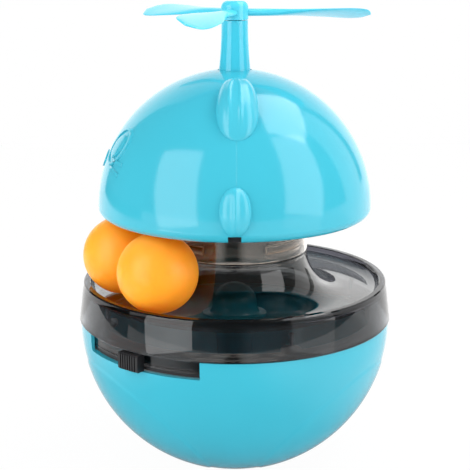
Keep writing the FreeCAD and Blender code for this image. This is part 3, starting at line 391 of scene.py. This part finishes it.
# ---- Dome ----
# Sky-blue shell like the bowl's, with a rolled rim, a seat for the mast on top and a notch in the
# rim on each side. Ears and paws stand out of its sides, and the lines of a face out of its front.
DOME_MIDDLE = 137.2
DOME_OUT = 70.5
DOME_IN = 68.3
dome_out = arc(0, DOME_MIDDLE, DOME_OUT, 0.6, 83.0, 96)
dome_in = arc(0, DOME_MIDDLE, DOME_IN, 82.0, angle_on(DOME_MIDDLE, DOME_IN, 156.9), 60)
dome = turned("dome_shell_skin", [(65.4, 133.7), (65.6, 133.5)]
              + arc(66.1, 137.9, 4.4, -90, 0, 12) + dome_out + [
    (8.6, 207.17), (8.5, 206.6), (3.5, 206.6), (3.5, 202.0), (9.5, 202.0)] + dome_in, steps=256)
for bearing in (90, 270):
    notch = turned("notch", [(60, 132), (75, 132), (75, 137.1), (60, 137.1)], 6, 5.2, bearing)
    carve(dome, notch)


SUNK = 1.2


def raised_form(name, side, lift, aside, tall, form):
    """A soft form on the dome's side, lifted by degrees, with its foot sunk in the wall.

    The form is a function that gives width and rise at a place across and along, from -1 to 1.
    """
    start_clean()
    bpy.ops.mesh.primitive_grid_add(x_subdivisions=72, y_subdivisions=80, size=2)
    piece = bpy.context.object
    piece.name = name
    slope = math.radians(lift)
    out = Vector((0, -math.cos(slope), math.sin(slope)))
    up = Vector((0, math.sin(slope), math.cos(slope)))
    for vertex in piece.data.vertices:
        w, rise = form(math.sin(vertex.co.x * math.pi / 2), math.sin(vertex.co.y * math.pi / 2))
        v = tall * math.sin(vertex.co.y * math.pi / 2)
        ground = math.sqrt(DOME_OUT ** 2 - v * v - w * w)
        spot = Vector((w + aside, 0, DOME_MIDDLE)) + up * v
        spot += out * (ground + rise if rise > 0 else ground - SUNK)
        vertex.co = Vector((spot.x, spot.y * side, spot.z)) * MM
    take(piece)
    bpy.ops.object.mode_set(mode="EDIT")
    bpy.ops.mesh.select_mode(type="VERT")
    bpy.ops.mesh.select_all(action="DESELECT")
    bpy.ops.mesh.select_non_manifold(extend=False, use_multi_face=False,
                                     use_non_contiguous=False, use_verts=False)
    bpy.ops.mesh.edge_face_add()
    bpy.ops.mesh.select_all(action="SELECT")
    bpy.ops.mesh.normals_make_consistent(inside=False)
    bpy.ops.object.mode_set(mode="OBJECT")
    return piece


EAR_HALF, EAR_CREST = 10.1, 8.0
PAW_HALF, PAW_CREST = 7.5, 3.4


def ear_form(across, along):
    """An egg, full in its middle, with two soft ridges that run together towards its tip."""
    w = EAR_HALF * across * math.sqrt(max(1 - abs(along) ** 2.4, 0.0)) * (1 - 0.08 * along)
    crest = EAR_CREST * (1 - abs((along - 0.28) / (1.30 if along < 0.28 else 0.74)) ** 2.6)
    body = max(crest, 0.0) * max(1 - abs(across) ** 3.0, 0.0) ** 0.62
    close = min(max((along - 0.2) / 0.6, 0.0), 1.0)
    apart = 2.75 * (1 - close * close * (3 - 2 * close))
    ridge = math.exp(-((abs(w + 1.2) - apart) / 1.0) ** 2) * (1 - abs(along) ** 3)
    return w, body + 0.65 * ridge * (1 if body > 0.6 else body / 0.6)


def paw_form(across, along):
    """A low oval cushion with a narrow rounded ridge down its middle."""
    w = PAW_HALF * across * math.sqrt(max(1 - abs(along) ** 2.2, 0.0))
    body = max(1 - abs(across) ** 3.2, 0.0) ** 0.6 * max(1 - abs(along) ** 2.4, 0.0) ** 0.6
    body *= PAW_CREST
    ridge = math.exp(-(w / 1.5) ** 2) * (1 - along ** 4)
    return w, body + 1.3 * ridge * (1 if body > 0.6 else body / 0.6)


def post(radius, y, z):
    """A round bar that runs out through the face, along -X."""
    start_clean()
    bpy.ops.mesh.primitive_cylinder_add(vertices=96, radius=radius * MM, depth=60 * MM,
                                        rotation=(0, math.pi / 2, 0),
                                        location=Vector((-60, y, z)) * MM)
    bpy.ops.object.transform_apply(location=True, rotation=True, scale=True)
    return bpy.context.object


def bar(corners):
    """A bar with a drawn outline of (y, z) that runs out through the face, along -X."""
    start_clean()
    bpy.ops.mesh.primitive_circle_add(vertices=len(corners), radius=0.01, fill_type="NGON")
    piece = bpy.context.object
    for vertex, (y, z) in zip(piece.data.vertices, corners):
        vertex.co = Vector((-90, y, z)) * MM
    bpy.ops.object.mode_set(mode="EDIT")
    bpy.ops.mesh.select_all(action="SELECT")
    bpy.ops.mesh.extrude_region_move(TRANSFORM_OT_translate={"value": (60 * MM, 0, 0)})
    bpy.ops.mesh.select_all(action="SELECT")
    bpy.ops.mesh.normals_make_consistent(inside=False)
    bpy.ops.object.mode_set(mode="OBJECT")
    return piece


def soften(piece, width):
    """Round the sharp edges of a piece by a width in millimetres."""
    take(piece)
    bpy.ops.object.modifier_add(type="BEVEL")
    edge = piece.modifiers[-1]
    edge.width = width * MM
    edge.segments = 2
    edge.limit_method = "ANGLE"
    edge.angle_limit = math.radians(40)
    bpy.ops.object.modifier_apply(modifier=edge.name)


def on_the_face(piece):
    """Trim a bar by a ball just larger than the dome, and soften its edge."""
    start_clean()
    bpy.ops.mesh.primitive_uv_sphere_add(segments=128, ring_count=64,
                                         radius=(DOME_OUT + MARK_RISE) * MM,
                                         location=(0, 0, DOME_MIDDLE * MM))
    bpy.ops.object.transform_apply(location=True, rotation=True, scale=True)
    carve(piece, bpy.context.object, "INTERSECT")
    soften(piece, 0.3)
    piece.name = "face_mark"
    return piece


# The face, raised from the dome: a ring and a disc for each eye, two whiskers on each cheek, and
# the nose, a pointed oval between two arcs.
MARK_RISE = 0.65
EYE_ASIDE, EYE_HEIGHT = 22.0, 171.5
EYE_OUT, EYE_IN, PUPIL = 9.5, 8.0, 5.6
WHISKER_START, WHISKER_END, WHISKER_HEIGHT = 25.5, 35.5, 163.5
WHISKER_HALF, WHISKER_STEP = 0.75, 2.6
NOSE_HEIGHT, NOSE_ROUND, NOSE_SHIFT = 162.0, 8.62, 4.26
marks = []
for side in (-1, 1):
    aside = EYE_ASIDE * side
    eye = post(EYE_OUT, aside, EYE_HEIGHT)
    carve(eye, post(EYE_IN, aside, EYE_HEIGHT))
    marks.append(on_the_face(eye))
    marks.append(on_the_face(post(PUPIL, aside, EYE_HEIGHT)))
    near, far = WHISKER_START * side, WHISKER_END * side
    for drop in (1, -1):
        start = WHISKER_HEIGHT + WHISKER_STEP * 0.6 * drop
        finish = WHISKER_HEIGHT + WHISKER_STEP * (drop - 0.6)
        marks.append(on_the_face(bar([
            (near, start - WHISKER_HALF), (far, finish - WHISKER_HALF),
            (far, finish + WHISKER_HALF), (near, start + WHISKER_HALF)])))
lower = arc(0, NOSE_HEIGHT + NOSE_SHIFT, NOSE_ROUND, 210.4, 329.6, 24)
upper = arc(0, NOSE_HEIGHT - NOSE_SHIFT, NOSE_ROUND, 30.4, 149.6, 24)
marks.append(on_the_face(bar(lower[:-1] + upper[:-1])))

ears = [raised_form("ear", side, 54.1, 1.2, 20.6, ear_form) for side in (1, -1)]
paws = [raised_form("paw", side, 9.4, 0.3, 11.6, paw_form) for side in (1, -1)]

# The fine line that the halves of the mould left on each side of the dome, between paw and ear.
start_clean()
bpy.ops.mesh.primitive_torus_add(major_segments=360, minor_segments=8,
                                 major_radius=(DOME_OUT - 0.14) * MM, minor_radius=0.17 * MM,
                                 rotation=(0, math.pi / 2, 0),
                                 location=(0.8 * MM, 0, DOME_MIDDLE * MM))
bpy.ops.object.transform_apply(location=True, rotation=True, scale=True)
parting = bpy.context.object
parting.name = "parting_line"
bpy.ops.object.mode_set(mode="EDIT")
bpy.ops.mesh.select_all(action="SELECT")
bpy.ops.mesh.bisect(plane_co=(0, 0, 151 * MM), plane_no=(0, 0, 1), clear_inner=True,
                    use_fill=True)
bpy.ops.mesh.select_all(action="SELECT")
bpy.ops.mesh.bisect(plane_co=(0, 0, 180 * MM), plane_no=(0, 0, 1), clear_outer=True,
                    use_fill=True)
bpy.ops.object.mode_set(mode="OBJECT")
smooth(dome)
dress(dome, sky_blue, "dome")
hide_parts("dome_shell")
# Ears and paws: a slightly lighter copy of the sky blue, painted light, with a rougher skin.
soft_blue_painted_light = plastic("soft_blue_plastic", (0.048, 0.425, 0.55), 0.22)
for raised in ears + paws + marks + [parting]:
    smooth(raised, 40)
    dress(raised, soft_blue_painted_light if raised in ears + paws else sky_blue, "dome")


# ---- Dome floor ----
# Smoked disc, screwed to the dome from below, with the collar that drops over the tray's neck. Two
# ribbed catches in the collar lock under the neck's lugs when the dome is turned; they are tinted
# darker than the disc as painted shade, and their ribs lighter and less clear as painted highlight.
# Two tabs stand behind the notches in the dome's edge, black as painted shade inside the notches.
dome_floor = turned("dome_floor_disc", [
    (0, 136.0), (36.65, 136.0), (36.65, 115.0), (37.95, 115.0),
    (37.95, 136.0), (65.0, 136.0), (65.25, 136.25), (65.25, 137.8), (0, 137.8)], steps=192)
smoke_floor = smoked("smoked_floor_plastic", (0.94, 0.90, 0.85))
# Catches darker than the disc: painted shade. Ribs lighter and less clear: painted highlight.
catch_painted_shade = smoked("smoked_catch_painted_shade", (0.36, 0.33, 0.30))
rib_painted_highlight = plastic("smoked_rib_painted_highlight", (0.62, 0.56, 0.50), 0.15, 0.05, 0.01, 90.0, 0.35)
CATCH_SPAN = 131
CATCH_LOW, CATCH_TOP = 118.6, 123.0
RIB_SPAN, RIB_ASIDE = 1.2, 65
for bearing in (0, 180):
    for middle, span, low, high in (
            (bearing, CATCH_SPAN, CATCH_TOP - 0.5, CATCH_TOP),
            (bearing - RIB_ASIDE, RIB_SPAN, CATCH_LOW, CATCH_TOP - 0.6),
            (bearing + RIB_ASIDE, RIB_SPAN, CATCH_LOW, CATCH_TOP - 0.6)):
        rib = turned("catch_rib_painted_highlight", [(36.24, low), (36.6, low), (36.6, high), (36.24, high)],
                     max(int(span / 2), 2), span, middle)
        dress(rib, rib_painted_highlight, "dome")
    catch = turned("floor_catch", [(35.2, CATCH_LOW), (36.2, CATCH_LOW), (36.2, CATCH_TOP),
                                   (35.2, CATCH_TOP)], 72, CATCH_SPAN, bearing)
    soften(catch, 0.35)
    smooth(catch)
    dress(catch, catch_painted_shade, "dome")
# Black tabs: painted shade seen through the notches.
for bearing in (90, 270):
    tab = turned("floor_tab", [(63.4, 133.4), (65.2, 133.4), (65.2, 136.0), (63.4, 136.0)], 8, 6.4,
                 bearing)
    dress(tab, black_plastic_and_painted_shade, "dome")
# The thick lower edge of the collar looks nearly black, so it is a ring of its own in near-black
# smoke, painted shade.
lip = turned("collar_lip", [(36.75, 114.25), (37.85, 114.25), (37.95, 114.35), (37.95, 114.95),
                            (36.65, 114.95), (36.65, 114.35)], steps=192)
smooth(lip)
dress(lip, smoked("smoked_lip_painted_shade", (0.06, 0.06, 0.07)), "dome")
smooth(dome_floor)
dress(dome_floor, smoke_floor, "dome")
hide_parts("dome_floor")


# ---- Mast ----
# A slightly waisted sky-blue tube that stands in the dome's seat and carries the steel pin. A
# screw and a washer hold it from inside the dome.
MAST_FOOT, MAST_HEIGHT = 206.6, 25.1
MAST_WIDE, MAST_TAPER, MAST_WAIST = 8.1, 1.35, 0.345
mast_side = []
for number in range(13):
    share = number / 12
    waist = MAST_WAIST * 4 * share * (1 - share)
    mast_side.append((MAST_WIDE - MAST_TAPER * share - waist, MAST_FOOT + MAST_HEIGHT * share))
mast = turned("mast_tube", [(6.3, MAST_FOOT)] + mast_side + [
    (6.55, 231.9), (1.3, 231.9), (1.3, 226.9), (4.95, 226.9)], steps=96)
smooth(mast)
# A lighter copy of the sky blue: painted light.
mast_blue_painted_light = plastic("mast_blue_plastic", (0.045, 0.475, 0.62), 0.1)
dress(mast, mast_blue_painted_light, "dome")
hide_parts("mast")


# ---- Propeller ----
# Rotor on the pin, in a brighter copy of the sky blue as painted light: a rounded hub with its
# cap, and three thin twisted blades with a stem-like root and a leaf-shaped end.
rotor_blue_painted_light = plastic("rotor_blue_plastic", (0.07, 0.53, 0.68), 0.16)
HUB_ROUND = (3.5, 238.1, 3.4)
hub = turned("rotor_hub", [
    (1.33, 232.65), (3.4, 232.65), (3.4, 232.15), (6.75, 232.15), (6.9, 232.3)]
    + arc(*HUB_ROUND, 0, 71, 14)
    + [(4.6, 240.3), (4.0, 240.3), (4.0, 238.4), (1.33, 238.4)], steps=96)

# A blade's stations from root to tip: reach from the axis, chord, pitch in degrees, and wall.
BLADE = [(4.0, 7.0, 2.2, 3.9), (20.0, 6.6, 9.9, 3.6), (38.0, 14.0, 15.0, 2.5),
         (53.0, 16.4, 18.5, 1.8), (62.0, 15.2, 21.6, 1.5), (67.5, 12.4, 22.0, 1.4),
         (71.3, 5.6, 22.0, 1.1)]
CHORD, PITCH, WALL = 1, 2, 3
BLADE_ROOT, BLADE_TIP = 4.0, 71.3
BLADE_HEIGHT = 235.6
BLADE_DROOP = 1.5
BLADE_LEAD = 12
ROUND_START, ROUND_LENGTH = 67.0, 4.35


def blade_at(reach, column):
    """Chord, pitch or wall of a blade, by a smooth curve through its stations."""
    last = len(BLADE) - 1
    here = max(i for i in range(last) if BLADE[i][0] <= reach + 1e-9)
    low, high = BLADE[here], BLADE[here + 1]
    before, after = BLADE[max(here - 1, 0)], BLADE[min(here + 2, last)]
    width = high[0] - low[0]
    slope_in = (high[column] - before[column]) / (high[0] - before[0]) * width
    slope_out = (after[column] - low[column]) / (after[0] - low[0]) * width
    t = (reach - low[0]) / width
    return ((2 * t ** 3 - 3 * t ** 2 + 1) * low[column] + (t ** 3 - 2 * t ** 2 + t) * slope_in
            + (3 * t ** 2 - 2 * t ** 3) * high[column] + (t ** 3 - t ** 2) * slope_out)


def tip_round(reach):
    """How much of its chord a blade keeps, as its end rounds off."""
    share = max((reach - ROUND_START) / ROUND_LENGTH, 0.0)
    return math.sqrt(max(1 - share ** 3, 0.0))


def droop(reach):
    """How far a blade hangs down at a place along it, as its own weight has bent it."""
    return BLADE_DROOP * (reach / BLADE_TIP) ** 2


blades = []
reaches = [BLADE_ROOT + 1.6 * i for i in range(37)] + [
    BLADE_TIP - 9.7 * (1 - math.sin(math.pi / 2 * i / 12)) for i in range(1, 13)]
for number in range(3):
    start_clean()
    bpy.ops.mesh.primitive_circle_add(vertices=40, radius=0.5 * MM, fill_type="NGON",
                                      rotation=(math.pi / 2, 0, math.pi / 2))
    blade = bpy.context.object
    blade.name = "rotor_blade"
    bpy.ops.object.transform_apply(location=False, rotation=True, scale=True)
    bpy.ops.object.mode_set(mode="EDIT")
    bpy.ops.mesh.select_mode(type="VERT")
    bpy.ops.mesh.select_all(action="SELECT")
    centre = Vector((BLADE_ROOT, 0, BLADE_HEIGHT - droop(BLADE_ROOT))) * MM
    bpy.ops.transform.translate(value=centre)
    chord, wall = blade_at(BLADE_ROOT, CHORD), blade_at(BLADE_ROOT, WALL)
    bpy.ops.transform.resize(value=(1, chord, wall), center_override=centre)
    pitch = 0.0
    for reach in reaches[1:]:
        step = Vector((reach, 0, BLADE_HEIGHT - droop(reach))) * MM - centre
        centre = centre + step
        bpy.ops.mesh.extrude_region_move(TRANSFORM_OT_translate={"value": step})
        bpy.ops.transform.rotate(value=math.radians(-pitch), orient_axis="X",
                                 center_override=centre)
        new_chord = max(blade_at(reach, CHORD) * tip_round(reach), 0.3)
        new_wall = blade_at(reach, WALL)
        bpy.ops.transform.resize(value=(1, new_chord / chord, new_wall / wall),
                                 center_override=centre)
        chord, wall, pitch = new_chord, new_wall, blade_at(reach, PITCH)
        bpy.ops.transform.rotate(value=math.radians(pitch), orient_axis="X",
                                 center_override=centre)
    bpy.ops.mesh.select_all(action="SELECT")
    bpy.ops.mesh.normals_make_consistent(inside=False)
    bpy.ops.transform.rotate(value=math.radians(-BLADE_LEAD - 120 * number), orient_axis="Z",
                             center_override=(0, 0, 0))
    bpy.ops.object.mode_set(mode="OBJECT")
    blades.append(blade)
smooth(hub)
dress(hub, rotor_blue_painted_light, "rotor")
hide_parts("propeller")
for blade in blades:
    smooth(blade, 50)
    dress(blade, rotor_blue_painted_light, "rotor")
cap = turned("rotor_cap", [(0, 240.3), (4.55, 240.3), (4.55, 241.2)]
             + arc(*HUB_ROUND, 72, 90, 6) + [(0, 241.5)], steps=64)
smooth(cap)
dress(cap, rotor_blue_painted_light, "rotor")
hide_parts("hub_cap")


# ---- Metal and hidden pieces ----
# Steel weight, pin, washers and screws, and the ring and cover inside the bowl, keep the shapes
# that they are packed with and get the finish of the real ones. The thrust washer's steel is
# darkened as painted shade of the gap between hub and mast.
def metal(name, colour, roughness):
    """Turned or plated steel with faint brushing round it."""
    material = plastic(name, colour, roughness, 0.06, 0.05, 1400.0)
    surface = material.node_tree.nodes["Principled BSDF"]
    surface.inputs["Metallic"].default_value = 1.0
    return material


weight_steel = metal("weight_steel", (0.42, 0.43, 0.45), 0.38)
screw_steel = metal("screw_steel", (0.58, 0.58, 0.60), 0.26)
# Dark steel for the thrust washer: painted shade of the gap under the hub.
washer_steel_painted_shade = metal("washer_steel_painted_shade", (0.09, 0.10, 0.11), 0.5)
finishes = {"counterweight": weight_steel, "weight_cover": sky_blue, "outlet_ring": smoke,
            "thrust_washer": washer_steel_painted_shade}
for node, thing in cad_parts.items():
    thing.data.materials.clear()
    thing.data.materials.append(finishes.get(node, screw_steel))


# ---- Studio ----
# A white floor, a lit white wall behind and one aside, and a low dark flag far to the left. Soft
# boxes stand on both sides, a low one under the right one, and one overhead to the right. The
# camera stands at the photograph's place.
scene = bpy.context.scene


def board(name, spot, turn, size, fades, glow, sides=None):
    """A white board, plain white to the camera; in the gloss it glows and fades along its length.

    The glow goes from its first value to its second between the two places in fades. With sides,
    a shift and two places across the board, it brightens towards both sides as well.
    """
    start_clean()
    bpy.ops.mesh.primitive_plane_add(size=1, location=spot, rotation=turn)
    sheet = bpy.context.object
    sheet.name = name
    sheet.scale = (*size, 1)
    material = bpy.data.materials.new(name)
    material.use_nodes = True
    tree = material.node_tree
    matt = tree.nodes["Principled BSDF"]
    matt.inputs["Base Color"].default_value = (0.86, 0.86, 0.86, 1)
    matt.inputs["Roughness"].default_value = 0.9
    place = tree.nodes.new("ShaderNodeTexCoord")
    axes = tree.nodes.new("ShaderNodeSeparateXYZ")
    fade = tree.nodes.new("ShaderNodeMapRange")
    fade.interpolation_type = "SMOOTHSTEP"
    fade.inputs["From Min"].default_value, fade.inputs["From Max"].default_value = fades
    fade.inputs["To Min"].default_value, fade.inputs["To Max"].default_value = glow
    shine = tree.nodes.new("ShaderNodeEmission")
    white = tree.nodes.new("ShaderNodeEmission")
    rays = tree.nodes.new("ShaderNodeLightPath")
    shown = tree.nodes.new("ShaderNodeMath")
    shown.operation = "MAXIMUM"
    share = tree.nodes.new("ShaderNodeMath")
    share.operation = "MULTIPLY"
    share.inputs[1].default_value = 0.97
    in_gloss = tree.nodes.new("ShaderNodeMixShader")
    in_view = tree.nodes.new("ShaderNodeMixShader")
    tree.links.new(place.outputs["Object"], axes.inputs["Vector"])
    tree.links.new(axes.outputs["Y"], fade.inputs["Value"])
    tree.links.new(fade.outputs["Result"], shine.inputs["Strength"])
    if sides:
        off = tree.nodes.new("ShaderNodeMath")
        off.operation = "ADD"
        off.inputs[1].default_value = sides[0]
        away = tree.nodes.new("ShaderNodeMath")
        away.operation = "ABSOLUTE"
        across = tree.nodes.new("ShaderNodeMapRange")
        across.interpolation_type = "SMOOTHSTEP"
        across.inputs["From Min"].default_value = sides[1]
        across.inputs["From Max"].default_value = sides[2]
        brighter = tree.nodes.new("ShaderNodeMath")
        brighter.operation = "MAXIMUM"
        tree.links.new(axes.outputs["X"], off.inputs[0])
        tree.links.new(off.outputs["Value"], away.inputs[0])
        tree.links.new(away.outputs["Value"], across.inputs["Value"])
        tree.links.new(fade.outputs["Result"], brighter.inputs[0])
        tree.links.new(across.outputs["Result"], brighter.inputs[1])
        tree.links.new(brighter.outputs["Value"], shine.inputs["Strength"])
    tree.links.new(rays.outputs["Is Glossy Ray"], shown.inputs[0])
    tree.links.new(rays.outputs["Is Transmission Ray"], shown.inputs[1])
    tree.links.new(shown.outputs["Value"], in_gloss.inputs["Fac"])
    tree.links.new(matt.outputs["BSDF"], in_gloss.inputs[1])
    tree.links.new(shine.outputs["Emission"], in_gloss.inputs[2])
    tree.links.new(rays.outputs["Is Camera Ray"], share.inputs[0])
    tree.links.new(share.outputs["Value"], in_view.inputs["Fac"])
    tree.links.new(in_gloss.outputs["Shader"], in_view.inputs[1])
    tree.links.new(white.outputs["Emission"], in_view.inputs[2])
    tree.links.new(in_view.outputs["Shader"], tree.nodes["Material Output"].inputs["Surface"])
    sheet.data.materials.append(material)


UPRIGHT = math.pi / 2
board("studio_floor", (0, 0, 0), (0, 0, 0), (8, 8), (-0.02, 0.035), (0.04, 1.3),
      sides=(0.00375, 0.005, 0.024))
board("studio_flag", (-1.0, 0.45, 0.06), (UPRIGHT, 0, UPRIGHT), (1.3, 0.12),
      (-0.5, 0.5), (0.05, 0.05))
board("studio_wall", (0, 1.0, 0.85), (UPRIGHT, 0, 0), (1.8, 1.72), (-0.4, 0.5), (1.4, 0.5))
board("studio_side", (1.15, 0.62, 0.75), (UPRIGHT, 0, -UPRIGHT), (0.76, 1.5),
      (-0.5, 0.5), (1.2, 1.0))

# The world behind it all: its light on matt faces, then what gloss, smoke and camera see of it.
world = bpy.data.worlds.new("studio")
scene.world = world
world.use_nodes = True
tree = world.node_tree
fill = tree.nodes["Background"]
fill.inputs["Color"].default_value = (1, 1, 1, 1)
rays = tree.nodes.new("ShaderNodeLightPath")
WORLD_LIGHT = 0.9
so_far = None
for ray, light in (("Is Glossy Ray", 0.14), ("Is Transmission Ray", 0.7), ("Is Camera Ray", 1.0)):
    mix = tree.nodes.new("ShaderNodeMix")
    mix.inputs[2].default_value = WORLD_LIGHT
    mix.inputs[3].default_value = light
    tree.links.new(rays.outputs[ray], mix.inputs[0])
    if so_far:
        tree.links.new(so_far.outputs[0], mix.inputs[2])
    so_far = mix
tree.links.new(so_far.outputs[0], fill.inputs["Strength"])


def soft_box(name, spot, turn, size, brightness):
    """A rectangular soft box at a spot, turned about X, Y and Z by degrees."""
    light = bpy.data.lights.new(name, "AREA")
    light.shape = "RECTANGLE"
    light.size, light.size_y = size
    light.energy = brightness * math.pi * size[0] * size[1]
    lamp = bpy.data.objects.new(name, light)
    scene.collection.objects.link(lamp)
    lamp.location = spot
    lamp.rotation_euler = [math.radians(angle) for angle in turn]


soft_box("left_box", (-0.514, -0.404, 0.376), (71.1, -9.5, -36.9), (0.465, 0.74), 2.7)
soft_box("right_box", (0.454, -0.219, 0.455), (76.6, 10.4, 45.2), (0.346, 0.666), 2.5)
soft_box("right_skirt", (0.470, -0.331, 0.083), (76.6, 10.4, 45.2), (0.346, 0.110), 0.6)
soft_box("top_box", (0.475, 0.17, 1.04), (2.6, 29.4, 27.9), (0.55, 0.75), 3.8)

# A long lens 0.6 m from the toy's axis, looking a little down on it.
lens = bpy.data.cameras.new("camera")
camera = bpy.data.objects.new("camera", lens)
scene.collection.objects.link(camera)
camera.location = (0.00015, -0.600, 0.26952)
camera.rotation_euler = (math.radians(90 - 13.926), 0, 0)
lens.sensor_width = 36.0
lens.lens = 90.3
lens.clip_start = 0.01
scene.camera = camera
scene.view_settings.view_transform = "Standard"
